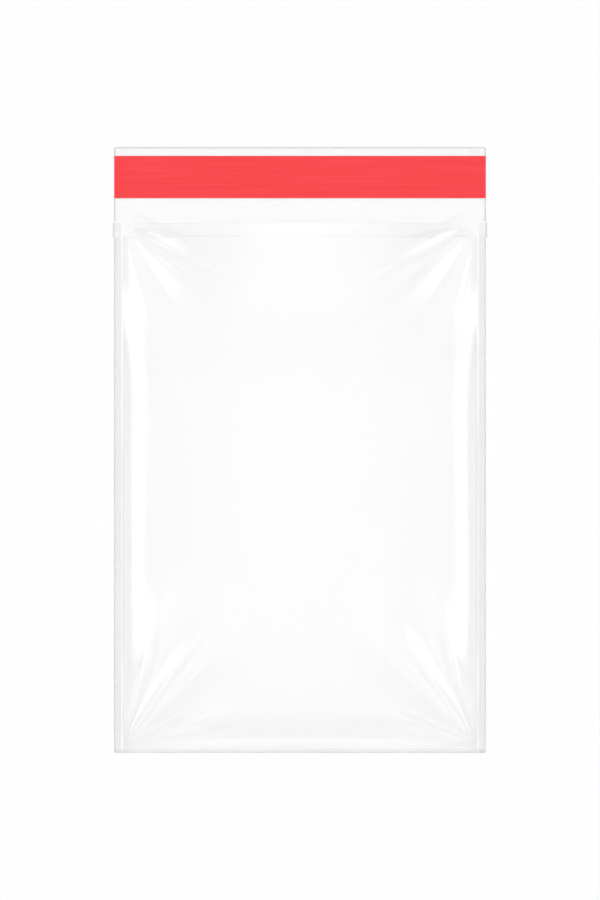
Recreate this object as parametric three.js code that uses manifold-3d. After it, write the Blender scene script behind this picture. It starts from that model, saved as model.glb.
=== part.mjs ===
// A self-seal bag of clear film, lying on its back with the front panel up and the mouth towards +Y.
// One web of film makes the whole bag: the back ply runs on past the mouth as the closing flap, the web
// turns at the bottom fold, the front ply comes back up to the mouth and its hem is turned in there, and
// a weld down each side joins the plies. A band of adhesive and its peel-off liner lie on the flap.
// Millimetres, +Z up, the origin on the floor under the middle of the outline.

import * as THREE from 'three';
import { mergeVertices } from 'three/addons/utils/BufferGeometryUtils.js';
import Module from 'manifold-3d';

// The film's cut and welds.
const BAG_WIDTH = 162;
const POCKET_LENGTH = 231;
const FLAP_LENGTH = 33;
const CORNER_RADIUS = 0.8;
const FILM_THICKNESS = 0.05;
const SIDE_WELD = 3.5;
const BOTTOM_FOLD = 2;

// The hem turned in at the mouth, whose ends stand out of the side welds as tabs.
const HEM_DEPTH = 6.1;
const HEM_GAP = 0.3;
const HEM_TAB = 0.5;

// The pillow of air under the front ply: a steep flank beside each weld, a narrow ledge and then a slope
// above the bottom fold that bows down towards the corners, a low crown over the middle, and an arch at
// the mouth.
const FLANK_HEIGHT = 4.8;
const FLANK_REACH = 16;
const FLANK_POWER = 3.5;
const CROWN_HEIGHT = 8.4;
const LEDGE_SHARE = 0.15;
const LEDGE_REACH = 2;
const LEDGE_POWER = 2;
const TOE_START = 4;
const TOE_REACH = 12;
const TOE_BOW = 0.6;
const MOUTH_HEIGHT = 8.4;
const MOUTH_REACH = 75;
const MOUTH_POWER = 1.5;

// Folds that fan out of the pocket's corners. An angle is in degrees from the side weld, a reach is the
// fold's length, and a crest is its height, or its depth where it is negative.
const BOTTOM_FOLDS = [
  { angle: 6, reach: 66, crest: -0.9 },
  { angle: 18, reach: 70, crest: 1.5 },
  { angle: 28, reach: 52, crest: -0.8 },
  { angle: 36, reach: 70, crest: 1.6 },
  { angle: 55, reach: 52, crest: -1.2 },
  { angle: 67, reach: 48, crest: 0.8 },
  { angle: 79, reach: 66, crest: -0.8 },
];
const TOP_FOLDS = [
  { angle: 10, reach: 60, crest: 0.8 },
  { angle: 22, reach: 60, crest: -1.1 },
  { angle: 40, reach: 54, crest: 1.0 },
  { angle: 55, reach: 72, crest: -1.1 },
  { angle: 73, reach: 54, crest: 1.1 },
];
const FOLD_ROOT = 0.6;
const FOLD_SPREAD = 0.068;
const FOLD_RISE = 0.65;
const FOLD_ROUND = 0.3;
const FOLD_FADE = 1.2;

// The adhesive band and the liner that covers it, cut flush with the film's sides.
const LINER_WIDTH = 18.4;
const LINER_MARGIN = 3.8;
const LINER_THICKNESS = 0.05;
const LINER_DRY_EDGE = 2.2;
const ADHESIVE_THICKNESS = 0.1;

// How finely the film is divided: cells in each corner zone and between the zones.
const CORNER_ZONE = 44;
const CORNER_CELLS = 17;
const CORNER_GRADE = 1.4;
const MIDDLE_CELLS = 8;
const HEM_CELLS = 2;
const SLOPE_STEP = 0.01;

// Where the edges lie.
const HALF_WIDTH = BAG_WIDTH / 2;
const POCKET_HALF = HALF_WIDTH - SIDE_WELD;
const BOTTOM_Y = -(POCKET_LENGTH + FLAP_LENGTH) / 2;
const FOLD_Y = BOTTOM_Y + BOTTOM_FOLD;
const MOUTH_Y = BOTTOM_Y + POCKET_LENGTH;
const MIDDLE_Y = (FOLD_Y + MOUTH_Y) / 2;
const HEM_Y = MOUTH_Y - HEM_DEPTH;
const TOP_Y = MOUTH_Y + FLAP_LENGTH;
const CLEAR_HEIGHT = 2 * (FLANK_HEIGHT + CROWN_HEIGHT + MOUTH_HEIGHT);
const CAUGHT_HEIGHT = FILM_THICKNESS / 4;
const TURN_INSET = FILM_THICKNESS / 2;

const wasm = await Module();
wasm.setup();

// A curve that climbs from 0 at an edge to 1 at its reach, steepest at the edge.
function climb(distance, reach, power) {
  const share = THREE.MathUtils.clamp(distance / reach, 0, 1);
  return 1 - (1 - share) ** power;
}

// One fold's height at a point that lies inward and up (or down) from its corner: a ridge whose sides fall
// away from a slightly rounded crest, wider and then lower towards its far end.
function foldHeight(inward, along, { angle, reach, crest }) {
  const turn = THREE.MathUtils.degToRad(angle);
  const outward = inward * Math.sin(turn) + along * Math.cos(turn);
  const across = inward * Math.cos(turn) - along * Math.sin(turn);
  const share = outward / reach;
  if (share <= 0 || share >= 1) {
    return 0;
  }
  const width = FOLD_ROOT + FOLD_SPREAD * outward;
  const ridge = Math.exp(FOLD_ROUND - Math.hypot(across / width, FOLD_ROUND));
  return crest * Math.sin(Math.PI * share ** FOLD_RISE) * ridge;
}

// The height of the air under the front ply, above the back ply. The folds raise or lower it by a share of
// itself that fades towards the welds, so it never falls below nothing.
function pillowHeight(x, y) {
  const fromWeld = POCKET_HALF - Math.abs(x);
  const fromFold = y - FOLD_Y;
  if (fromWeld <= 0 || fromFold <= 0) {
    return 0;
  }
  const fromMouth = MOUTH_Y - y;
  const crown = 1 - (x / POCKET_HALF) ** 2;
  const swell = 1 - ((fromMouth - fromFold) / (fromMouth + fromFold)) ** 2;
  const body = FLANK_HEIGHT * climb(fromWeld, FLANK_REACH, FLANK_POWER) + CROWN_HEIGHT * crown * swell;
  const arch = MOUTH_HEIGHT * crown ** MOUTH_POWER;
  const closed = THREE.MathUtils.smoothstep(fromMouth, 0, MOUTH_REACH);
  const ledge = climb(fromFold, LEDGE_REACH, LEDGE_POWER);
  const bow = 1 - TOE_BOW * (1 - crown);
  const slope = THREE.MathUtils.smoothstep(fromFold / bow, TOE_START, TOE_START + TOE_REACH);
  const toe = THREE.MathUtils.lerp(slope, ledge, LEDGE_SHARE);
  const smooth = toe * THREE.MathUtils.lerp(arch, body, closed);
  let folds = 0;
  for (const fold of BOTTOM_FOLDS) {
    folds += foldHeight(fromWeld, fromFold, fold);
  }
  for (const fold of TOP_FOLDS) {
    folds += foldHeight(fromWeld, fromMouth, fold);
  }
  return smooth * Math.exp(folds / (smooth + FOLD_FADE));
}

// The hem's own ply lifts the front ply by one thickness where it lies under it.
function hemLift(y) {
  return FILM_THICKNESS * THREE.MathUtils.clamp((y - HEM_Y + HEM_TAB) / HEM_TAB, 0, 1);
}

// The underside of the front ply, which lies on the back ply in the welds.
function frontLevel(x, y) {
  const air = pillowHeight(x, y);
  return FILM_THICKNESS + air + Math.min(hemLift(y), air);
}

// The underside of the hem's turned-in ply: a gap below the front ply, and caught inside it in the welds.
function hemLevel(x, y) {
  const air = pillowHeight(x, y);
  return FILM_THICKNESS + (air > 0 ? air - Math.min(HEM_GAP, air / 2) : CAUGHT_HEIGHT);
}

// The point on a ply's underside.
function under(level) {
  return (x, y) => new THREE.Vector3(x, y, level(x, y));
}

// The point on a ply's top side, one thickness square to its underside. In the side welds the front ply
// is fused with the hem's end and takes up its thickness.
function over(level) {
  return (x, y) => {
    const point = under(level)(x, y);
    if (Math.abs(x) >= POCKET_HALF) {
      point.z += FILM_THICKNESS + (level === frontLevel ? hemLift(y) : 0);
      return point;
    }
    const climbX = level(x + SLOPE_STEP, y) - level(x - SLOPE_STEP, y);
    const climbY = y < MOUTH_Y ? level(x, y + SLOPE_STEP) - level(x, y - SLOPE_STEP) : 0;
    const square = new THREE.Vector3(-climbX, -climbY, 2 * SLOPE_STEP).normalize();
    return point.addScaledVector(square, FILM_THICKNESS);
  };
}

// The point in the middle of a ply's thickness.
function middle(level) {
  return (x, y) => under(level)(x, y).lerp(over(level)(x, y), 0.5);
}

// Lines across a stretch, closer together towards its start.
function gradedLines(start, end, cells, grade) {
  return Array.from({ length: cells }, (_, i) => THREE.MathUtils.lerp(start, end, (i / cells) ** grade));
}

// Lines from one edge to the other of a panel, closer together in the zone beside each edge.
function panelLines(low, high) {
  const lowZone = gradedLines(low, low + CORNER_ZONE, CORNER_CELLS, CORNER_GRADE);
  const middle = gradedLines(low + CORNER_ZONE, high - CORNER_ZONE, MIDDLE_CELLS, 1);
  const highZone = gradedLines(high, high - CORNER_ZONE, CORNER_CELLS, CORNER_GRADE);
  return [...lowZone, ...middle, high - CORNER_ZONE, ...highZone.reverse()];
}

// The film's columns at a height up the bag. The hem's ends stand out of the welds as tabs.
function columnsAt(y) {
  const edge = HALF_WIDTH + HEM_TAB * hemLift(y) / FILM_THICKNESS;
  return [-edge, ...panelLines(-POCKET_HALF, POCKET_HALF), edge];
}

// A closed sheet over rows up the bag, between an underside and a top side on one grid. Each cell is cut
// along the diagonal that points at its nearest corner, as the folds there do.
function sheetGeometry(rows, underside, topside) {
  const columns = columnsAt(rows[0]).length;
  const count = columns * rows.length;
  const positions = new Float32Array(count * 2 * 3);
  rows.forEach((y, row) => {
    columnsAt(y).forEach((x, column) => {
      const at = row * columns + column;
      underside(x, y).toArray(positions, at * 3);
      topside(x, y).toArray(positions, (count + at) * 3);
    });
  });
  const faces = [];
  const addFace = (a, b, c) => {
    faces.push(a, b, c);
    faces.push(count + a, count + c, count + b);
  };
  for (let row = 0; row < rows.length - 1; row += 1) {
    for (let column = 0; column < columns - 1; column += 1) {
      const a = row * columns + column;
      const [b, c, d] = [a + columns, a + columns + 1, a + 1];
      if (column < (columns - 1) / 2 === rows[row] < MIDDLE_Y) {
        addFace(a, b, c);
        addFace(a, c, d);
      } else {
        addFace(a, b, d);
        addFace(b, c, d);
      }
    }
  }
  const rim = [];
  for (let column = 0; column < columns - 1; column += 1) {
    rim.push([column, column + 1]);
    rim.push([count - 1 - column, count - 2 - column]);
  }
  for (let row = 1; row < rows.length; row += 1) {
    rim.push([row * columns - 1, (row + 1) * columns - 1]);
    rim.push([row * columns, (row - 1) * columns]);
  }
  for (const [a, b] of rim) {
    faces.push(a, b, count + b);
    faces.push(a, count + b, count + a);
  }
  const geometry = new THREE.BufferGeometry();
  geometry.setAttribute('position', new THREE.BufferAttribute(positions, 3));
  geometry.setIndex(faces);
  return geometry;
}

// A geometry as a solid for joining and trimming.
function solidOf(geometry) {
  const bare = geometry.clone();
  bare.deleteAttribute('normal');
  bare.deleteAttribute('uv');
  const merged = mergeVertices(bare);
  return new wasm.Manifold(new wasm.Mesh({
    numProp: 3,
    vertProperties: new Float32Array(merged.attributes.position.array),
    triVerts: new Uint32Array(merged.index.array),
  }));
}

// A joined solid as a geometry again.
function geometryOf(solid) {
  const mesh = solid.getMesh();
  const geometry = new THREE.BufferGeometry();
  geometry.setAttribute('position', new THREE.BufferAttribute(new Float32Array(mesh.vertProperties), 3));
  geometry.setIndex(new THREE.BufferAttribute(new Uint32Array(mesh.triVerts), 1));
  return geometry;
}

// The bag's outline with its flap, rounded corners and hem tabs.
function bagOutline() {
  const outline = new THREE.Shape();
  const side = HALF_WIDTH - CORNER_RADIUS;
  outline.absarc(side, BOTTOM_Y + CORNER_RADIUS, CORNER_RADIUS, -Math.PI / 2, 0);
  outline.lineTo(HALF_WIDTH, HEM_Y - HEM_TAB);
  outline.lineTo(HALF_WIDTH + HEM_TAB, HEM_Y);
  outline.lineTo(HALF_WIDTH + HEM_TAB, MOUTH_Y);
  outline.lineTo(HALF_WIDTH, MOUTH_Y);
  outline.absarc(side, TOP_Y - CORNER_RADIUS, CORNER_RADIUS, 0, Math.PI / 2);
  outline.absarc(-side, TOP_Y - CORNER_RADIUS, CORNER_RADIUS, Math.PI / 2, Math.PI);
  outline.lineTo(-HALF_WIDTH, MOUTH_Y);
  outline.lineTo(-HALF_WIDTH - HEM_TAB, MOUTH_Y);
  outline.lineTo(-HALF_WIDTH - HEM_TAB, HEM_Y);
  outline.lineTo(-HALF_WIDTH, HEM_Y - HEM_TAB);
  outline.absarc(-side, BOTTOM_Y + CORNER_RADIUS, CORNER_RADIUS, Math.PI, Math.PI * 1.5);
  return outline;
}

// The outline raised to a height.
function outlineGeometry(depth) {
  return new THREE.ExtrudeGeometry(bagOutline(), { depth, bevelEnabled: false, curveSegments: 4 });
}

// The film of the bag: back ply with flap, front ply, hem, and the hem's turn at the mouth, as one web.
function filmBag() {
  const pocketRows = panelLines(FOLD_Y, HEM_Y - HEM_TAB);
  const hemRows = [...gradedLines(HEM_Y, MOUTH_Y, HEM_CELLS, 1), MOUTH_Y];
  const frontRows = [BOTTOM_Y, ...pocketRows, ...hemRows];
  const turnRows = [MOUTH_Y - TURN_INSET - FILM_THICKNESS, MOUTH_Y - TURN_INSET];
  const back = solidOf(outlineGeometry(FILM_THICKNESS));
  const front = solidOf(sheetGeometry(frontRows, under(frontLevel), over(frontLevel)));
  const hem = solidOf(sheetGeometry(hemRows, under(hemLevel), over(hemLevel)));
  const turn = solidOf(sheetGeometry(turnRows, middle(hemLevel), middle(frontLevel)));
  const outline = solidOf(outlineGeometry(CLEAR_HEIGHT));
  return geometryOf(back.add(front).add(hem).add(turn).intersect(outline));
}

// A flat strip across the flap, by its width up the bag, thickness and distance from the flap's free edge.
function flapStrip(name, width, thickness, margin, base, material) {
  const strip = new THREE.Mesh(new THREE.BoxGeometry(BAG_WIDTH, width, thickness), material);
  strip.name = name;
  strip.position.set(0, TOP_Y - margin - width / 2, base + thickness / 2);
  return strip;
}

const clearFilm = new THREE.MeshStandardMaterial({
  color: 0xf3f5f6,
  roughness: 0.08,
  metalness: 0,
  transparent: true,
  opacity: 0.3,
});
const clearAdhesive = new THREE.MeshStandardMaterial({ color: 0xe9e6da, roughness: 0.5, metalness: 0 });
const redLiner = new THREE.MeshStandardMaterial({ color: 0xfc4d51, roughness: 0.45, metalness: 0 });

const film = new THREE.Mesh(filmBag(), clearFilm);
film.name = 'film_bag';
const adhesive = flapStrip(
  'adhesive_strip',
  LINER_WIDTH - 2 * LINER_DRY_EDGE,
  ADHESIVE_THICKNESS,
  LINER_MARGIN + LINER_DRY_EDGE,
  FILM_THICKNESS,
  clearAdhesive,
);
const liner = flapStrip(
  'release_liner',
  LINER_WIDTH,
  LINER_THICKNESS,
  LINER_MARGIN,
  FILM_THICKNESS + ADHESIVE_THICKNESS,
  redLiner,
);

const bag = new THREE.Group();
bag.add(film, adhesive, liner);

export default bag;
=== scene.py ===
# %% [markdown]
# # A self-seal bag of clear film
# A self-seal bag is one web of thin clear film, folded at the bottom and welded up both sides. Its back
# runs on past the mouth into a flap with a band of adhesive, and a red liner keeps the band from sticking
# until the bag is closed. The bag lies on its back on a white table, as an empty one must, and the camera
# looks straight down on it with the flap at the top of the picture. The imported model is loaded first. It is
# the fixed frame that everything below is built in.

import bpy
import numpy as np
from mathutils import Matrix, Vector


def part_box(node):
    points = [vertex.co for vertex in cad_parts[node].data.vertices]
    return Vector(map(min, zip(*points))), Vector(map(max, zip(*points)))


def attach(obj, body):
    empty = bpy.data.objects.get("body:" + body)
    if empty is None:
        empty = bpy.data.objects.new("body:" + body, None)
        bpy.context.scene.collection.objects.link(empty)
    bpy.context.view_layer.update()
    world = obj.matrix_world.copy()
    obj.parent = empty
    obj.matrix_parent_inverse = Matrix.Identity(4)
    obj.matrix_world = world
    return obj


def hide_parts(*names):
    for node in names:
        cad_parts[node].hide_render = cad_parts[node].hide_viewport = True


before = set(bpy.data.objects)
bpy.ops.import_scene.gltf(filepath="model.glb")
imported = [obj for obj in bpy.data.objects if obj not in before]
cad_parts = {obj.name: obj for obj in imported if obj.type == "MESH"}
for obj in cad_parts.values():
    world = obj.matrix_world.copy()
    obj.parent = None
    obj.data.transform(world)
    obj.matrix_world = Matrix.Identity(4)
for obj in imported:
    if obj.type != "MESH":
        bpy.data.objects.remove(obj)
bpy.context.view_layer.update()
print("packed nodes:", ", ".join(sorted(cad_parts)))

# %% [markdown]
# ## Millimetres, colours and shader nodes
# Blender counts in metres and a bag maker in millimetres, so every length below is in millimetres and is
# scaled once, where a mesh is made. Colours are written as sRGB hex, as a paint program shows them, and are
# turned into the linear light that shaders reckon with. Node trees could be drawn by hand in the editor.
# Built by one small function instead, they can be read from top to bottom like the rest of the lesson.

# %% Colours and nodes
MM = 0.001


def linear(hex_colour):
    """An sRGB hex colour as linear RGBA: a short straight part near black, then a power of 2.4."""
    srgb = np.array([int(hex_colour[start:start + 2], 16) for start in (1, 3, 5)]) / 255
    rgb = np.where(srgb <= 0.04045, srgb / 12.92, ((srgb + 0.055) / 1.055) ** 2.4)
    return (*rgb, 1.0)


def add_node(tree, kind, inputs=None, **settings):
    """Adds a node, sets its properties, and fills inputs with values, with sockets or with nodes."""
    node = tree.nodes.new(kind)
    for name, value in settings.items():
        setattr(node, name, value)
    for name, value in (inputs or {}).items():
        if isinstance(value, bpy.types.Node):
            value = value.outputs[0]
        if isinstance(value, bpy.types.NodeSocket):
            tree.links.new(value, node.inputs[name])
        else:
            node.inputs[name].default_value = value
    return node


def new_material(name):
    """A material with an empty node tree, and that tree."""
    material = bpy.data.materials.new(name)
    material.use_nodes = True
    material.node_tree.nodes.clear()
    return material, material.node_tree


print("paper white as linear light:", np.round(linear("#FFFFFF"), 3))

# %% [markdown]
# ## From arrays to a mesh
# A sheet is a grid of points, so numpy holds it as one array of rows and columns, and Blender takes the
# whole array at once with `foreach_set`. A sheet of film also has a wall. The Solidify modifier could add
# it, but the film's two faces lie closer together than its folds are round, so both skins are worked out
# here from the sheet's own normals, and a rim closes them into one solid.

# %% Grids with a wall
def unit(vectors):
    """Each vector at length one."""
    return vectors / np.maximum(np.linalg.norm(vectors, axis=-1, keepdims=True), 1e-12)


def direction(points, axis):
    """The way a grid line runs at each point: the mean of the steps before and after it."""
    step = unit(np.diff(points, axis=axis))
    first, last = np.take(step, [0], axis=axis), np.take(step, [-1], axis=axis)
    return unit(np.concatenate([first, step], axis=axis) + np.concatenate([step, last], axis=axis))


def walled(points, thickness):
    """Points and quads of a closed sheet: two skins half a wall either side of the grid, and a rim.

    The normal at a point is the cross product of the way its row's line and its column's line run.
    """
    rows, columns = points.shape[:2]
    normal = unit(np.cross(direction(points, 0), direction(points, 1)))
    skins = np.stack([points + normal * thickness / 2, points - normal * thickness / 2])
    index = np.arange(rows * columns).reshape(rows, columns)
    quads = np.stack([index[:-1, :-1], index[1:, :-1], index[1:, 1:], index[:-1, 1:]], axis=-1).reshape(-1, 4)
    loop = np.concatenate([index[0, :-1], index[:-1, -1], index[-1, :0:-1], index[:0:-1, 0]])
    after = np.roll(loop, -1)
    rim = np.stack([loop, after, after + index.size, loop + index.size], axis=-1)
    return skins.reshape(-1, 3), np.concatenate([quads, quads[:, ::-1] + index.size, rim])


square = np.array([[(0.0, 0.0, 0.0), (0.0, 1.0, 0.0)], [(1.0, 0.0, 0.0), (1.0, 1.0, 0.0)]])
print("a square of film with its wall has", len(walled(square, thickness=0.1)[1]), "faces")

# %% Mesh objects
def put_mesh(name, points, faces, material):
    """A smooth-shaded mesh object at the origin, from points in millimetres and faces of four corners."""
    mesh = bpy.data.meshes.new(name)
    mesh.vertices.add(len(points))
    mesh.vertices.foreach_set("co", (points * MM).astype(np.float32).ravel())
    mesh.loops.add(faces.size)
    mesh.loops.foreach_set("vertex_index", faces.astype(np.int32).ravel())
    mesh.polygons.add(len(faces))
    mesh.polygons.foreach_set("loop_start", np.arange(0, faces.size, 4, dtype=np.int32))
    mesh.polygons.foreach_set("use_smooth", np.ones(len(faces), dtype=bool))
    mesh.update(calc_edges=True)
    mesh.validate()
    mesh.materials.append(material)
    piece = bpy.data.objects.new(name, mesh)
    bpy.context.scene.collection.objects.link(piece)
    print(name, "has", 2 * len(faces), "triangles")
    return piece


def store(piece, name, values):
    """Keeps one number for each point of a grid, the same on both skins, for a material to read by name."""
    both = np.tile(values.ravel(), 2).astype(np.float32)
    piece.data.attributes.new(name, "FLOAT", "POINT").data.foreach_set("value", both)
    print(piece.name, "keeps", name, "from", round(values.min(), 2), "to", round(values.max(), 2))


# %% [markdown]
# ## Sizes of the bag
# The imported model's boxes give the outline: the film's box its length, and the liner's box its width,
# because the liner was cut off in one stroke with the web. What lies inside the outline is given as a bag
# maker would give it: the welds down the sides, the pressed fold at the bottom, the flap, and the hem that
# is turned in at the mouth, whose ends are caught in the welds and stand out as small tabs.

# %% Sizes
film_low, film_high = (np.array(corner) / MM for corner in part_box("film_bag"))
liner_low, liner_high = (np.array(corner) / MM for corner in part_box("release_liner"))

SIDE_WELD = 3.5
BOTTOM_FOLD = 2.0
FLAP_LENGTH = 33.0
HEM_DEPTH = 6.1
HEM_GAP = 0.3
HEM_TAB = 0.5
CORNER_RADIUS = 0.8
FILM_THICKNESS = 0.05
PLY_PITCH = 0.07

HALF_WIDTH = liner_high[0]
POCKET_HALF = HALF_WIDTH - SIDE_WELD
BOTTOM_Y, TOP_Y = film_low[1], film_high[1]
FOLD_Y = BOTTOM_Y + BOTTOM_FOLD
MOUTH_Y = TOP_Y - FLAP_LENGTH
HEM_Y = MOUTH_Y - HEM_DEPTH

# %% [markdown]
# ## The air in the bag
# An empty bag holds a little air. The back panel lies flat and the front one floats over it: it springs up
# beside each weld, runs nearly level over the middle, and comes down to the bottom fold over a steeper toe
# and a low ledge. At the mouth it arches, because nothing holds it down there but the welds. A cloth
# simulation with pressure would blow up a balloon of its own shape, so the height is a formula of the place
# on the bag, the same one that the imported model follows.

# %% Height of the air
FLANK_HEIGHT, FLANK_REACH, FLANK_POWER = 4.8, 16.0, 3.5
CROWN_HEIGHT = 8.4
LEDGE_SHARE, LEDGE_REACH, LEDGE_POWER = 0.15, 2.0, 2.0
TOE_START, TOE_REACH, TOE_BOW = 4.0, 12.0, 0.6
MOUTH_HEIGHT, MOUTH_REACH, MOUTH_POWER = 8.4, 75.0, 1.5


def smoothstep(value, low, high):
    """An S-shaped rise from 0 at low to 1 at high: three squares of the share less two cubes of it."""
    share = np.clip((value - low) / (high - low), 0, 1)
    return share * share * (3 - 2 * share)


def climb(distance, reach, power):
    """A rise that is steepest at its start: one less a power of the share of the reach still to go."""
    return 1 - (1 - np.clip(distance / reach, 0, 1)) ** power


def air(x, y):
    """Height of the smooth front panel over its welds.

    A flank that climbs from the welds and a crown that is a parabola both ways make the closed body. An
    arch, a power of the parabola across, makes the open mouth, and the one blends into the other. All of
    it is multiplied by the toe, a share of low ledge and a share of S-shaped slope.
    """
    from_weld, from_fold, from_mouth = POCKET_HALF - np.abs(x), y - FOLD_Y, MOUTH_Y - y
    crown = np.clip(1 - (x / POCKET_HALF) ** 2, 0, 1)
    swell = 1 - ((from_mouth - from_fold) / (from_mouth + from_fold)) ** 2
    body = FLANK_HEIGHT * climb(from_weld, FLANK_REACH, FLANK_POWER) + CROWN_HEIGHT * crown * swell
    arch = MOUTH_HEIGHT * crown ** MOUTH_POWER
    closed = smoothstep(from_mouth, 0, MOUTH_REACH)
    slope = smoothstep(from_fold / (1 - TOE_BOW * (1 - crown)), TOE_START, TOE_START + TOE_REACH)
    ledge = climb(from_fold, LEDGE_REACH, LEDGE_POWER)
    toe = slope + (ledge - slope) * LEDGE_SHARE
    return np.maximum(toe * (arch + (body - arch) * closed), 0)


print(f"air in the middle of the bag: {air(np.array(0.0), np.array(0.0)):.1f} mm deep")

# %% [markdown]
# ## Folds that fan out of the corners
# A flat sheet can't take the shape of a pillow without gathering, and film that won't stretch gathers in
# its corners. Stiff folds run out of each corner like the ribs of a fan, ridge and valley in turn, sharp
# at the corner and soft where they end. Sculpting them would leave nothing to measure, and a bump map
# would catch no light at the edges, so each fold is a ridge along a line, with a height in millimetres. The
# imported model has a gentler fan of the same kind.

# %% Main folds
# Each fold is its angle from the side weld in degrees, its reach and its crest in millimetres.
BOTTOM_FOLDS = [
    (15, 84, 2.6), (24, 64, -1.4), (34, 90, 2.2), (39, 60, -0.6),
    (45, 84, 2.0), (58, 56, -1.7), (68, 48, 1.0), (79, 66, -0.9),
]
TOP_FOLDS = [
    (6, 60, -0.5), (16, 60, 0.8), (32, 70, -1.3), (44, 70, 1.3),
    (53, 80, -1.4), (63, 76, 1.8), (76, 60, -1.0),
]
FOLD_ROOT, FOLD_SPREAD = 0.6, 0.068
FOLD_RISE, FOLD_ROUND = 0.65, 0.3


def fan(inward, along, folds, root, spread):
    """Height of the folds that fan out of a corner, at a place so far inward and along from it.

    Along its line a fold swells and dies away as half a wave of a sine. Across it the height falls off
    exponentially from a rounded crest, over a width that grows with the distance from the corner.
    """
    total = np.zeros_like(inward)
    for angle, reach, crest in folds:
        turn = np.radians(angle)
        outward = inward * np.sin(turn) + along * np.cos(turn)
        across_fold = inward * np.cos(turn) - along * np.sin(turn)
        swell = np.sin(np.pi * np.clip(outward / reach, 0, 1) ** FOLD_RISE)
        width = root + spread * np.maximum(outward, 0)
        fall = np.exp(FOLD_ROUND - np.hypot(across_fold / width, FOLD_ROUND))
        total += crest * swell * fall
    return total


print(len(BOTTOM_FOLDS), "folds in each bottom corner and", len(TOP_FOLDS), "in each mouth corner")

# %% [markdown]
# ## Finer creases
# Between the main folds lie many fine creases, different in every corner, and the panel between the corners
# is never quite even, because the film left its rollers a little slacker in some lanes than in others. The
# creases use the same fan, with angles, reaches and crests drawn by a random generator that starts from a
# fixed seed, so the bag comes out the same every time. The slack lanes are two long, crossing waves.

# %% Creases and slack lanes
CREASES, CREASE_SEED = 16, 11
CREASE_ROOT, CREASE_SPREAD = 0.3, 0.024
CREASE_LOW, CREASE_HIGH = 0.2, 0.6
FIRST_ANGLE, LAST_ANGLE, STRAY_ANGLE = 5, 86, 2.5
crease_dice = np.random.default_rng(CREASE_SEED)


def crease_table(shortest, longest):
    """A fan of creases at about even angles, ridge and valley in turn, as rows of angle, reach and crest."""
    angles = np.linspace(FIRST_ANGLE, LAST_ANGLE, CREASES)
    angles += crease_dice.uniform(-STRAY_ANGLE, STRAY_ANGLE, CREASES)
    reaches = crease_dice.uniform(shortest, longest, CREASES)
    crests = crease_dice.uniform(CREASE_LOW, CREASE_HIGH, CREASES) * (-1) ** np.arange(CREASES)
    return np.stack([angles, reaches, crests], axis=1)


bottom_creases = {side: crease_table(shortest=16, longest=60) for side in (-1, 1)}
mouth_creases = {side: crease_table(shortest=16, longest=50) for side in (-1, 1)}
SLACK_DEPTH, SLACK_PITCH = 0.12, 31.0
SLACK_DRIFT, SLACK_SWING = 170.0, 1.4
CROSS_PITCH, CROSS_LEAN = 52.7, 0.35


def fine_folds(x, y, from_weld, from_fold, from_mouth):
    """Creases of the four corners, each in its own half, and slack lanes that drift across the bag."""
    drift = SLACK_SWING * np.sin(2 * np.pi * y / SLACK_DRIFT)
    total = SLACK_DEPTH * np.sin(2 * np.pi * x / SLACK_PITCH + drift)
    total += SLACK_DEPTH * np.sin(2 * np.pi * (x + CROSS_LEAN * y) / CROSS_PITCH)
    for side in (-1, 1):
        corner = fan(from_weld, from_fold, bottom_creases[side], CREASE_ROOT, CREASE_SPREAD)
        corner += fan(from_weld, from_mouth, mouth_creases[side], CREASE_ROOT, CREASE_SPREAD)
        total += np.where(x * side > 0, corner, 0)
    return total


longest_crease = max(table[:, 1].max() for table in bottom_creases.values())
print(f"{4 * CREASES} creases, the longest {longest_crease:.0f} mm")

# %% [markdown]
# ## The front panel's height
# Simply adding the folds to the air could push a deep valley through the back panel. Instead the air's
# height is multiplied by e to the power of the folds, measured against the air itself. A ridge then lifts
# the panel and a valley lowers it, but the panel always stays above the back one, and where there is no
# air, as in the welds, there are no folds either. The very corners of the bottom hold hardly any air to
# multiply, so the short, sharp pleats there are added on top.

# %% Height of the front panel
FOLD_FADE = 1.2
PLEATS = [(16, 34, 0.8), (36, 24, 0.4), (68, 24, 0.5)]
PLEAT_ROOT, PLEAT_SPREAD = 0.25, 0.045
PLEAT_HOLD, HOLD_POWER = 2.0, 2  # the film is held down this far beside a weld or the bottom fold


def pillow(x, y):
    """Height of the folded front panel: the air times e to the power of folds over air plus a fade.

    Short pleats that start in the very corners of the bottom, where there is hardly any air, are added.
    """
    from_weld = np.maximum(POCKET_HALF - np.abs(x), 0)
    from_fold, from_mouth = np.maximum(y - FOLD_Y, 0), np.maximum(MOUTH_Y - y, 0)
    inside = (from_weld > 0) & (from_fold > 0)
    smooth = np.where(inside, air(x, y), 0)
    folds = fan(from_weld, from_fold, BOTTOM_FOLDS, FOLD_ROOT, FOLD_SPREAD)
    folds += fan(from_weld, from_mouth, TOP_FOLDS, FOLD_ROOT, FOLD_SPREAD)
    folds += fine_folds(x, y, from_weld, from_fold, from_mouth)
    pleats = fan(from_weld, from_fold, PLEATS, PLEAT_ROOT, PLEAT_SPREAD)
    pleats *= climb(from_weld, PLEAT_HOLD, HOLD_POWER) * climb(from_fold, PLEAT_HOLD, HOLD_POWER)
    return smooth * np.exp(folds / (smooth + FOLD_FADE)) + pleats


print(f"front panel in the middle of the bag: {pillow(np.array(0.0), np.array(0.0)):.1f} mm up")

# %% [markdown]
# ## Wrinkles of the back panel
# The back panel rests on the table, but the welds shrink as they cool and pull small wrinkles out of it in
# the corners, and a few run up past the mouth onto the flap. They show through the clear front panel as
# faint second streaks. They can only stand up from the table, never sink into it, so they are ridges of
# the same fan with their crests all positive, and they flatten out before they reach the adhesive.

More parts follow.
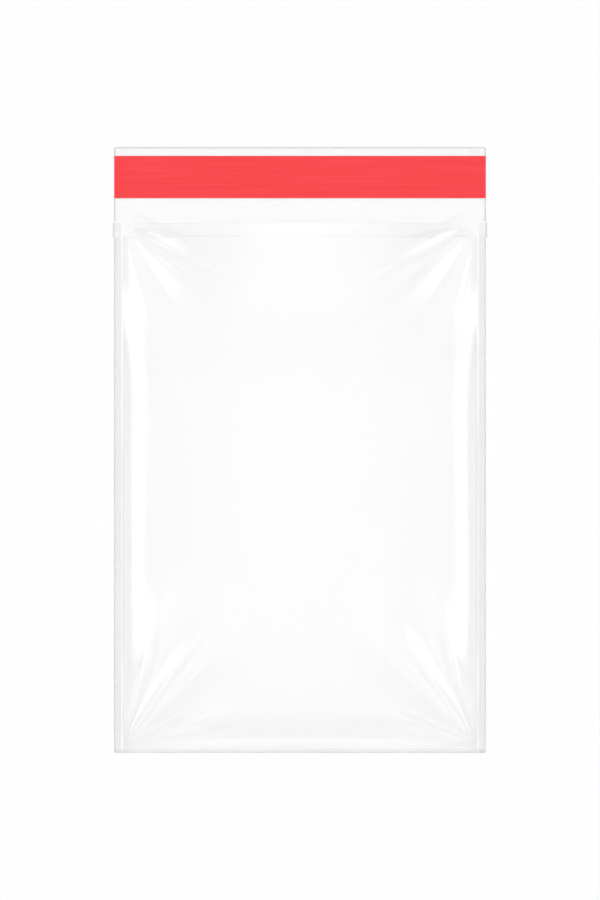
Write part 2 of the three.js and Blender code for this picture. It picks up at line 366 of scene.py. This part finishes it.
# %% Height of the back panel
BACK_FOLDS = [(24, 34, 0.5), (47, 40, 0.54), (59, 50, 0.54), (76, 36, 0.3)]
FLAP_FOLDS = [(44, 34, 0.25), (58, 54, 0.5), (76, 40, 0.2)]
BACK_ROOT, BACK_SPREAD = 0.45, 0.038
FLAP_ROOT_RISE = 8.0
BACK_HOLD = 3.0
PROBE_STEP = 0.5


def back_lift(x, y):
    """How far the back panel stands off the table: fans from the bottom corners and from beside the mouth."""
    from_weld = np.maximum(POCKET_HALF - np.abs(x), 0)
    root_y = MOUTH_Y + FLAP_ROOT_RISE
    low = fan(from_weld, np.maximum(y - FOLD_Y, 0), BACK_FOLDS, BACK_ROOT, BACK_SPREAD)
    high = fan(from_weld, np.maximum(root_y - y, 0), FLAP_FOLDS, BACK_ROOT, BACK_SPREAD)
    held = climb(from_weld, BACK_HOLD, HOLD_POWER)
    low *= held * climb(y - FOLD_Y, BACK_HOLD, HOLD_POWER)
    high *= held * climb(root_y - y, BACK_HOLD, HOLD_POWER)
    return low + high


places = np.meshgrid(np.arange(0, POCKET_HALF, PROBE_STEP), np.arange(FOLD_Y, TOP_Y, PROBE_STEP))
print(f"wrinkles of the back panel up to {back_lift(*places).max():.2f} mm high")

# %% [markdown]
# ## Where the grid's lines run
# A bag machine never cuts out a front and a back. It folds one web, so the mesh is one grid too: its rows
# follow the web from the flap's cut edge down the back, round the bottom fold, up the front, over the mouth
# and down the hem behind it, and its columns run across from weld to weld. An even grid would waste points
# on the calm middle and miss the corners, so the lines stand close at the edges and wide in the middle.

# %% Columns and rows
DENSE_PLACES = 4001


def stations(low, high, fine, coarse, zone):
    """Places from low to high, fine steps apart at both ends, growing by a cube to coarse past a zone.

    The count of steps so far is the sum of one over the step, and the places are read off at whole counts.
    """
    dense = np.linspace(low, high, DENSE_PLACES)
    share = np.clip(np.minimum(dense - low, high - dense) / zone, 0, 1)
    density = 1 / (fine + (coarse - fine) * share ** 3)
    count = np.concatenate([[0], np.cumsum((density[1:] + density[:-1]) / 2 * np.diff(dense))])
    return np.interp(np.linspace(0, count[-1], round(count[-1]) + 1), count, dense)


pocket_columns = stations(-POCKET_HALF, POCKET_HALF, fine=0.46, coarse=7.5, zone=74)
weld_columns = np.array([0.25, 0.5, 0.75, 0.9, 1.0])
near_fold = np.array([0.1, 0.25, 0.5, 0.8, 1.4])
HEM_ROWS = 10
BEND_RADIUS = PLY_PITCH / 2
fold_rows = BOTTOM_Y + BEND_RADIUS + near_fold
flap_rows = stations(MOUTH_Y + HEM_TAB, TOP_Y, fine=0.3, coarse=3, zone=6)
back_pocket_rows = stations(FOLD_Y, MOUTH_Y, fine=1.1, coarse=34, zone=80)
back_rows = np.concatenate([flap_rows[::-1], back_pocket_rows[::-1], fold_rows[::-1]])
front_pocket_rows = stations(FOLD_Y, HEM_Y - HEM_TAB, fine=0.5, coarse=9.5, zone=102)
hem_rows = np.linspace(HEM_Y, MOUTH_Y, HEM_ROWS)
front_rows = np.concatenate([fold_rows, front_pocket_rows, hem_rows])
columns = len(pocket_columns) + 2 * len(weld_columns)
print(f"{columns} columns, {len(back_rows)} back rows and {len(front_rows)} front rows")

# %% Edge of the web
def hem_share(y):
    """How much of the hem lies at a height: none below it, rising over the tab's slope to all of it."""
    return np.clip((y - HEM_Y + HEM_TAB) / HEM_TAB, 0, 1)


def edge_at(y):
    """Half the web's width: the bag's, a tab's width more at the hem, and rounded off at the corners."""
    tab = HEM_TAB * hem_share(y) * (1 - np.clip((y - MOUTH_Y) / HEM_TAB, 0, 1))
    inset = np.clip(CORNER_RADIUS - np.minimum(y - BOTTOM_Y, TOP_Y - y), 0, CORNER_RADIUS)
    return HALF_WIDTH + tab - CORNER_RADIUS + np.sqrt(CORNER_RADIUS ** 2 - inset ** 2)


def panel(rows, level):
    """A block of the web: at each row the pocket's columns and shares of both welds, at its level."""
    weld = weld_columns * (edge_at(rows)[:, None] - POCKET_HALF)
    middle = np.broadcast_to(pocket_columns, (len(rows), len(pocket_columns)))
    x = np.hstack([-POCKET_HALF - weld[:, ::-1], middle, POCKET_HALF + weld])
    y = np.broadcast_to(rows[:, None], x.shape)
    return np.stack([x, y, level(x, y)], axis=-1)


print(f"half width at the hem {edge_at(HEM_Y):.2f} mm, elsewhere {edge_at(0.0):.2f} mm")

# %% [markdown]
# ## One web, folded and hemmed
# Now the blocks of the web are worked out in the order that the film runs. Each is a height over the
# table, half a wall up for the back and one ply more for the front. The bottom fold is half a turn of a
# tiny circle, and so is the turn at the mouth, whose radius follows the hem: pressed flat in the welds and
# a little open between them. Joined end to end, the blocks are one sheet with no seam to hide.

# %% Blocks of the web
def back_level(x, y):
    """Middle of the back ply: half a wall over the table, and its wrinkles."""
    return FILM_THICKNESS / 2 + back_lift(x, y)


def front_level(x, y):
    """Middle of the front ply: one ply up, one more over the hem, and the pillow."""
    return FILM_THICKNESS / 2 + PLY_PITCH * (1 + hem_share(y)) + pillow(x, y)


def hem_pitch(x, y):
    """How far the hem lies below the front ply: a ply, and up to the hem's gap where there is air."""
    return PLY_PITCH + np.minimum(HEM_GAP, pillow(x, y) / 2)


BEND_TURN, BEND_ROWS = 75, 6
LIP_FROM, LIP_TO, LIP_ROWS = 30, 150, 5

back = panel(back_rows, back_level)
bend_turn = np.radians(np.linspace(-BEND_TURN, BEND_TURN, BEND_ROWS))
bend = panel(BOTTOM_Y + BEND_RADIUS * (1 - np.cos(bend_turn)), back_level)
bend[..., 2] = FILM_THICKNESS / 2 + BEND_RADIUS * (1 + np.sin(bend_turn))[:, None]

front = panel(front_rows, front_level)
lip_radius = hem_pitch(front[-1, :, 0], front[-1, :, 1]) / 2
front[-1, :, 1] -= lip_radius
front[-1, :, 2] = front_level(front[-1, :, 0], front[-1, :, 1])

lip_turn = np.radians(np.linspace(LIP_FROM, LIP_TO, LIP_ROWS))[:, None]
lip = np.tile(front[-1], (len(lip_turn), 1, 1))
lip[..., 1] += lip_radius * np.sin(lip_turn)
lip[..., 2] += lip_radius * (np.cos(lip_turn) - 1)

hem = front[:-len(hem_rows) - 1:-1].copy()
hem[..., 2] -= hem_pitch(hem[..., 0], hem[..., 1])

web = np.concatenate([back, bend, front, lip, hem])
film_points, film_faces = walled(web, FILM_THICKNESS)
print(f"web of {web.shape[0]} rows and {web.shape[1]} columns, highest point {web[..., 2].max():.2f} mm")

# %% [markdown]
# ## Where the film is cloudy, and painted shade at its edges
# Cast film is clear, but heat and cutting cloud it. The welds are crystallised and pressed between ribbed
# jaws, and their heat reaches a little way into the panels. Every edge of the web is a dark line, that of the
# hem too: cloud where the film is cut, and painted shade along the bottom fold, where the film bends steeply
# down to the table. The pressed bottom fold and the turn at the mouth are bruised, and fingers leave a few
# smudges on the flap. Painting these by hand would tie them to one picture, so they are worked out from the
# distance to each edge and kept on the mesh as two attributes: how cloudy, with the painted edge shade, and
# how much welded.

# %% Cloudiness
# Each frost is a share of cloud, and at the bottom fold's edge also of painted shade. The film's material
# turns it into a tenth as much haze.
WELD_FROST, FOLD_FROST, FLAP_FROST, MARGIN_FROST = 0.38, 0.32, 0.18, 0.14
EDGE_CLOUD_AND_SHADE, FLAP_EDGE_FROST = 1.3, 4.5
HEM_FROST, MOUTH_FROST = 0.25, 0.1
HEAT_FROST, HEAT_REACH = 0.25, 3.0
EDGE_WIDTH, MARGIN_WIDTH = 0.25, 3.0
WELD_INSET, HEM_CLEARING, MOST_FROST = 0.1, 0.6, 6.0
SMUDGES = [(-76.9, 129.9, 0.35), (2.0, 130.3, 0.25), (76.1, 129.9, 0.35)]
SMUDGE_LENGTH, SMUDGE_HEIGHT = 2.4, 0.9

web_x, web_y = web[..., 0], web[..., 1]
from_edge = np.minimum(edge_at(web_y) - np.abs(web_x), np.minimum(web_y - BOTTOM_Y, TOP_Y - web_y))
welded = ((np.abs(web_x) > POCKET_HALF + WELD_INSET) & (web_y < MOUTH_Y)).astype(float)
on_flap = web_y > MOUTH_Y + HEM_TAB
frost_and_edge_shade = WELD_FROST * welded * (1 - HEM_CLEARING * hem_share(web_y)) + FOLD_FROST * (web_y < FOLD_Y)
frost_and_edge_shade += FLAP_FROST * (web_y > MOUTH_Y) + MARGIN_FROST * np.exp((web_y - TOP_Y) / MARGIN_WIDTH)
# The dark line at every edge: cloud of the cut at the cut edges, painted shade along the bottom fold, where
# the film bends steeply down to the table.
frost_and_edge_shade += np.where(on_flap, FLAP_EDGE_FROST, EDGE_CLOUD_AND_SHADE) * np.exp(-from_edge / EDGE_WIDTH)
along_web = np.arange(len(web))[:, None]
in_front, in_hem = along_web >= len(back), along_web >= len(web) - len(hem_rows)
beside_weld = np.maximum(POCKET_HALF - np.abs(web_x), 0)
frost_and_edge_shade += HEAT_FROST * (beside_weld > 0) * (web_y < HEM_Y) * np.exp(-beside_weld / HEAT_REACH)
frost_and_edge_shade += HEM_FROST * in_hem * np.exp(-np.abs(HEM_Y - web_y) / EDGE_WIDTH)
frost_and_edge_shade += MOUTH_FROST * in_front * np.exp(-np.abs(MOUTH_Y - web_y) / EDGE_WIDTH)
for smudge_x, smudge_y, strength in SMUDGES:
    spot = ((web_x - smudge_x) / SMUDGE_LENGTH) ** 2 + ((web_y - smudge_y) / SMUDGE_HEIGHT) ** 2
    frost_and_edge_shade += strength * np.exp(-spot)
frost_and_edge_shade = np.clip(frost_and_edge_shade, 0, MOST_FROST)
print(f"welded points: {welded.mean():.0%} of the web, mean cloudiness {frost_and_edge_shade.mean():.3f}")

# %% [markdown]
# ## Clear film
# Cast polypropylene film is clear and glossy. What you see of it is what it mirrors: about four per cent at
# each face seen square on, and more at a slant. A glass shader would need light to find its way through
# eight bending faces, and the table under the bag would turn dark. A film this thin doesn't bend light that
# shows, so a transparent shader lets the light straight through, a glossy one mirrors its share, and a
# diffuse grey one adds the cloud and the painted shade along the bottom fold's edge. The mirror's share is
# reckoned from the facing angle, the same for both sides.

# %% Film material
# Clear polypropylene, cast on a chilled roller: nearly invisible face on, with sharp pale reflections.
FACE_ON_MIRROR, SLANT_POWER = 0.04, 5.0
FILM_ROUGHNESS = 0.09
BASE_HAZE, FROST_HAZE = 0.002, 0.1
RIB_PITCH, RIB_HEIGHT = 1.1, 0.01  # real jaws have ribs half as far apart, too fine to show here

film, tree = new_material("clear cast polypropylene")
place = add_node(tree, "ShaderNodeTexCoord").outputs["Object"]
along = add_node(tree, "ShaderNodeSeparateXYZ", {"Vector": place}).outputs["Y"]
phase = add_node(tree, "ShaderNodeMath", {0: along, 1: 2 * np.pi / (RIB_PITCH * MM)}, operation="MULTIPLY")
wave = add_node(tree, "ShaderNodeMath", {0: phase}, operation="SINE")
weld_share = add_node(tree, "ShaderNodeAttribute", attribute_name="welded").outputs["Fac"]
ribs = add_node(tree, "ShaderNodeMath", {0: wave, 1: weld_share}, operation="MULTIPLY")
relief = add_node(tree, "ShaderNodeBump", {"Height": ribs, "Strength": 1.0, "Distance": RIB_HEIGHT * MM})

facing = add_node(tree, "ShaderNodeLayerWeight", {"Blend": 0.5, "Normal": relief}).outputs["Facing"]
slant = add_node(tree, "ShaderNodeMath", {0: facing, 1: SLANT_POWER}, operation="POWER")
mirror = add_node(tree, "ShaderNodeMath", {
    0: slant, 1: 1 - FACE_ON_MIRROR, 2: FACE_ON_MIRROR}, operation="MULTIPLY_ADD")
clear = add_node(tree, "ShaderNodeBsdfTransparent", {"Color": linear("#FFFFFF")})
gloss = add_node(tree, "ShaderNodeBsdfGlossy", {
    "Color": linear("#FFFFFF"), "Roughness": FILM_ROUGHNESS, "Normal": relief})
glossy_film = add_node(tree, "ShaderNodeMixShader", {0: mirror, 1: clear, 2: gloss})

# Painted shade: the attribute read here also holds the dark line along the bottom fold's edge, which the grey
# veil shows.
cloud_and_edge_shade = add_node(tree, "ShaderNodeAttribute", attribute_name="frost_and_edge_shade").outputs["Fac"]
haze_and_edge_shade = add_node(tree, "ShaderNodeMath", {0: cloud_and_edge_shade, 1: FROST_HAZE, 2: BASE_HAZE}, operation="MULTIPLY_ADD")
grey_veil_and_edge_shade = add_node(tree, "ShaderNodeBsdfDiffuse", {"Color": linear("#C8CACC")})
film_with_haze_and_edge_shade = add_node(tree, "ShaderNodeMixShader", {0: haze_and_edge_shade, 1: glossy_film, 2: grey_veil_and_edge_shade})
add_node(tree, "ShaderNodeOutputMaterial", {"Surface": film_with_haze_and_edge_shade})
print(film.name, "has", len(tree.nodes), "nodes")

# %% The film's piece
SHARP_ANGLE = np.radians(50)

bag = put_mesh("film_web", film_points, film_faces, film)
bag.data.set_sharp_from_angle(angle=SHARP_ANGLE)
# The attribute kept here holds the cloud, and also the painted shade of the dark line along the bottom fold's
# edge.
store(bag, "frost_and_edge_shade", frost_and_edge_shade)
store(bag, "welded", welded)
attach(bag, "root")
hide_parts("film_bag")

# %% [markdown]
# ## The adhesive
# A band of clear acrylic adhesive is coated onto the flap in stripes, and it stays soft and tacky. It shows
# only from behind, as a faint honey tint between the film and the red liner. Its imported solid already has
# the right shape, a flat band, so it keeps that mesh and only gets a better finish: half clear, faintly
# yellow, glossy, and uneven in streaks along the coating's run.

# %% Adhesive material
# Acrylic adhesive, roller coated: clear and wet-looking, with fine streaks along the band.
STREAK_PITCH, STREAK_STRETCH, STREAK_HEIGHT = 1.5, 20.0, 0.03
TACK_SHARE = 0.35

adhesive, tree = new_material("clear acrylic adhesive")
place = add_node(tree, "ShaderNodeTexCoord").outputs["Object"]
drawn_out = add_node(tree, "ShaderNodeMapping", {"Vector": place, "Scale": (1 / STREAK_STRETCH, 1.0, 1.0)})
streaks = add_node(tree, "ShaderNodeTexNoise", {
    "Vector": drawn_out, "Scale": 1 / (STREAK_PITCH * MM), "Detail": 3.0})
tint = add_node(tree, "ShaderNodeValToRGB", {"Fac": streaks})
tint.color_ramp.elements[0].position, tint.color_ramp.elements[0].color = 0.3, linear("#E6DCBE")
tint.color_ramp.elements[1].position, tint.color_ramp.elements[1].color = 0.7, linear("#F4EED8")
ridges = add_node(tree, "ShaderNodeBump", {
    "Height": streaks, "Strength": 0.4, "Distance": STREAK_HEIGHT * MM})
tack = add_node(tree, "ShaderNodeBsdfPrincipled", {
    "Base Color": tint, "Roughness": 0.25, "IOR": 1.47, "Normal": ridges})
clear = add_node(tree, "ShaderNodeBsdfTransparent", {"Color": linear("#FBF6E6")})
half_clear = add_node(tree, "ShaderNodeMixShader", {0: TACK_SHARE, 1: clear, 2: tack})
add_node(tree, "ShaderNodeOutputMaterial", {"Surface": half_clear})

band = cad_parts["adhesive_strip"]
band.data.materials.clear()
band.data.materials.append(adhesive)
print(band.name, "keeps its packed mesh and gets", adhesive.name)

# %% [markdown]
# ## The red liner
# The liner is a strip of thin coloured film with a silicone coat, so that it peels off clean. It is wider
# than the adhesive, and its two dry edges stand off the flap a hair, which is how a thumb nail finds them.
# A box would lie dead flat, so the strip is a small sheet: flat over the adhesive, with dry edges that rise
# as a square of the distance and ripple slightly along their length.

# %% Liner sheet
adhesive_low, adhesive_high = (np.array(corner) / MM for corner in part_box("adhesive_strip"))
LINER_THICKNESS = liner_high[2] - liner_low[2]
EDGE_LIFT = 0.12
RIPPLE_PITCH, RIPPLE_SHARE, RIPPLE_SHIFT = 23.0, 0.45, 2.1

liner_x = stations(liner_low[0], liner_high[0], fine=0.4, coarse=2.0, zone=6)[None, :]
liner_y = stations(liner_low[1], liner_high[1], fine=0.15, coarse=0.8, zone=4)[::-1, None]
dry = np.maximum(adhesive_low[1] - liner_y, liner_y - adhesive_high[1]).clip(0)
dry = dry / (liner_high[1] - adhesive_high[1])
upper_or_lower = np.sign(liner_y - (adhesive_low[1] + adhesive_high[1]) / 2)
wave_along = 2 * np.pi * liner_x / RIPPLE_PITCH + RIPPLE_SHIFT * upper_or_lower
ripple = 1 + RIPPLE_SHARE * np.sin(wave_along)
liner_z = (liner_low[2] + liner_high[2]) / 2 + EDGE_LIFT * dry ** 2 * ripple
liner_grid = np.stack(np.broadcast_arrays(liner_x, liner_y, liner_z), axis=-1)
liner_points, liner_faces = walled(liner_grid, LINER_THICKNESS)
print(f"liner {LINER_THICKNESS:.2f} mm thick, dry edges lifted {liner_z.max() - liner_z.min():.2f} mm")

# %% [markdown]
# ## Coated red film
# The liner's colour is a strong light red under a semi-matt silicone coat. A single flat red would look like
# a painted rectangle. Real coated film has faint lanes along its run, where the coat is thinner, and a soft
# grain that spreads the gloss. Both are noise on the piece's own place in millimetres, stretched along the
# strip for the lanes, and each changes the colour or the roughness by only a few per cent.

# %% Liner material
# Polyester film, pigmented red and silicone coated: even, saturated colour with a broad, dull sheen.
LANE_WIDTH, LANE_STRETCH = 0.9, 50.0
GRAIN_SIZE, PIT_DEPTH = 0.5, 0.01

red, tree = new_material("silicone coated red film")
place = add_node(tree, "ShaderNodeTexCoord").outputs["Object"]
drawn_out = add_node(tree, "ShaderNodeMapping", {"Vector": place, "Scale": (1 / LANE_STRETCH, 1.0, 1.0)})
lanes = add_node(tree, "ShaderNodeTexNoise", {
    "Vector": drawn_out, "Scale": 1 / (LANE_WIDTH * MM), "Detail": 2.0})
shade = add_node(tree, "ShaderNodeValToRGB", {"Fac": lanes})
shade.color_ramp.elements[0].position, shade.color_ramp.elements[0].color = 0.3, linear("#F63D42")
shade.color_ramp.elements[1].position, shade.color_ramp.elements[1].color = 0.7, linear("#FA454A")
grain = add_node(tree, "ShaderNodeTexNoise", {"Vector": place, "Scale": 1 / (GRAIN_SIZE * MM), "Detail": 2.0})
dullness = add_node(tree, "ShaderNodeMapRange", {"Value": grain, "To Min": 0.42, "To Max": 0.56})
pits = add_node(tree, "ShaderNodeBump", {"Height": grain, "Strength": 0.25, "Distance": PIT_DEPTH * MM})
coat = add_node(tree, "ShaderNodeBsdfPrincipled", {
    "Base Color": shade, "Roughness": dullness, "IOR": 1.45, "Specular IOR Level": 0.3, "Normal": pits})
add_node(tree, "ShaderNodeOutputMaterial", {"Surface": coat})

liner = put_mesh("red_peel_strip", liner_points, liner_faces, red)
liner.data.set_sharp_from_angle(angle=SHARP_ANGLE)
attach(liner, "root")
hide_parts("release_liner")

# %% [markdown]
# ## The table
# Clear film has no colour of its own, so it shows best on a plain white table in soft light. The table is one
# large quad just under the back panel. A backdrop that curves up would do as well, but from straight above
# only the table is seen.

# %% Table
# Matt white laminate: an even white with no gloss of its own.
TABLE_REACH, TABLE_DROP = 4000.0, 0.02

table, tree = new_material("white table top")
matt = add_node(tree, "ShaderNodeBsdfDiffuse", {"Color": linear("#FCFCFC")})
add_node(tree, "ShaderNodeOutputMaterial", {"Surface": matt})
corners = np.array([(-1, -1), (1, -1), (1, 1), (-1, 1)]) * TABLE_REACH
corners = np.column_stack([corners, np.full(4, -TABLE_DROP)])
put_mesh("table", corners, np.array([[0, 1, 2, 3]]), table)

# %% [markdown]
# ## Soft light from a pale room
# What draws a clear bag is the room that it mirrors. A level face mirrors what is straight overhead, and a
# face that leans mirrors what lies twice as far round. So the world is bright overhead and falls off to a
# grey room, which gives the level panel its white and the folds their greys. Two soft windows at the sides
# give the white bands that run beside the welds, two far ones light the folds at the mouth, and a dim near
# one keeps the toe from turning dark. A single flat white world would hide the film.

# %% Room
# Light overhead, light of the grey room and the angle where it starts, then the glow above the horizon.
OVERHEAD, ROOM, OVERHEAD_SPREAD = 1.34, 0.49, 37.0
HORIZON, HORIZON_FROM, HORIZON_TO = 0.35, 80.0, 89.0

scene = bpy.context.scene
scene.view_settings.view_transform = "Standard"
scene.cycles.transparent_max_bounces = 32  # a ray along the bag can cross many faces of film

room = bpy.data.worlds.new("pale room")
scene.world = room
room.use_nodes = True
tree = room.node_tree
tree.nodes.clear()
toward = add_node(tree, "ShaderNodeTexCoord").outputs["Generated"]


def glow(way, bright, dim, inner, outer):
    """Light around a way to look: bright up to an inner angle in degrees, then an S-shaped fall to dim."""
    cosine = add_node(tree, "ShaderNodeVectorMath", {0: toward, 1: way}, operation="DOT_PRODUCT")
    angle = add_node(tree, "ShaderNodeMath", {0: cosine.outputs["Value"]}, operation="ARCCOSINE")
    return add_node(tree, "ShaderNodeMapRange", {
        "Value": angle, "From Min": np.radians(inner), "From Max": np.radians(outer),
        "To Min": bright, "To Max": dim}, interpolation_type="SMOOTHSTEP")


STRAIGHT_UP = (0, 0, 1)
lights = [
    glow(STRAIGHT_UP, OVERHEAD, ROOM, 0, OVERHEAD_SPREAD),
    glow(STRAIGHT_UP, 0, HORIZON, HORIZON_FROM, HORIZON_TO),
]
print(f"room light from {OVERHEAD} overhead to {ROOM} past {OVERHEAD_SPREAD} degrees")

# %% Windows
# Each window is its lean from overhead to the right and to the back, its light, and its two angles.
WINDOWS = {
    "left window": (-49, 0, 2.65, 2, 29),
    "right window": (49, 0, 2.65, 2, 29),
    "far left window": (-14, 50, 2.0, 2, 22),
    "far right window": (14, 50, 2.0, 2, 22),
    "near window": (0, -50, 0.25, 10, 34),
}
for right, back_lean, bright, inner, outer in WINDOWS.values():
    lean = np.radians(np.hypot(right, back_lean))
    aside = np.array([right, back_lean]) / np.hypot(right, back_lean) * np.sin(lean)
    lights.append(glow((*aside, np.cos(lean)), bright, 0, inner, outer))
total = lights[0]
for light in lights[1:]:
    total = add_node(tree, "ShaderNodeMath", {0: total, 1: light}, operation="ADD")
backdrop = add_node(tree, "ShaderNodeBackground", {"Color": linear("#FFFFFF"), "Strength": total})
add_node(tree, "ShaderNodeOutputWorld", {"Surface": backdrop})
print("windows:", ", ".join(WINDOWS))

# %% [markdown]
# ## The camera
# The picture looks square at the bag's face, with no lean that could be seen, so the camera stands far above
# the middle of the bag with a long lens. How much of the table it takes in follows from the scale, which is
# set by the bag's width in the picture. The focal length is the camera's height times the sensor's, over the
# length of table in the picture.

# %% Camera
PICTURE_ROWS, MM_PER_ROW = 900, 0.436
CAMERA_HEIGHT, SENSOR, LONGEST_SIGHT = 3000.0, 36.0, 20000.0

lens = bpy.data.cameras.new("camera")
lens.sensor_fit = "VERTICAL"
lens.sensor_height = SENSOR
lens.lens = SENSOR * CAMERA_HEIGHT / (PICTURE_ROWS * MM_PER_ROW)
lens.clip_end = LONGEST_SIGHT * MM
camera = bpy.data.objects.new("camera", lens)
camera.location = (0, 0, CAMERA_HEIGHT * MM)
scene.collection.objects.link(camera)
scene.camera = camera
print(f"lens of {lens.lens:.1f} mm at {CAMERA_HEIGHT * MM:.1f} m")
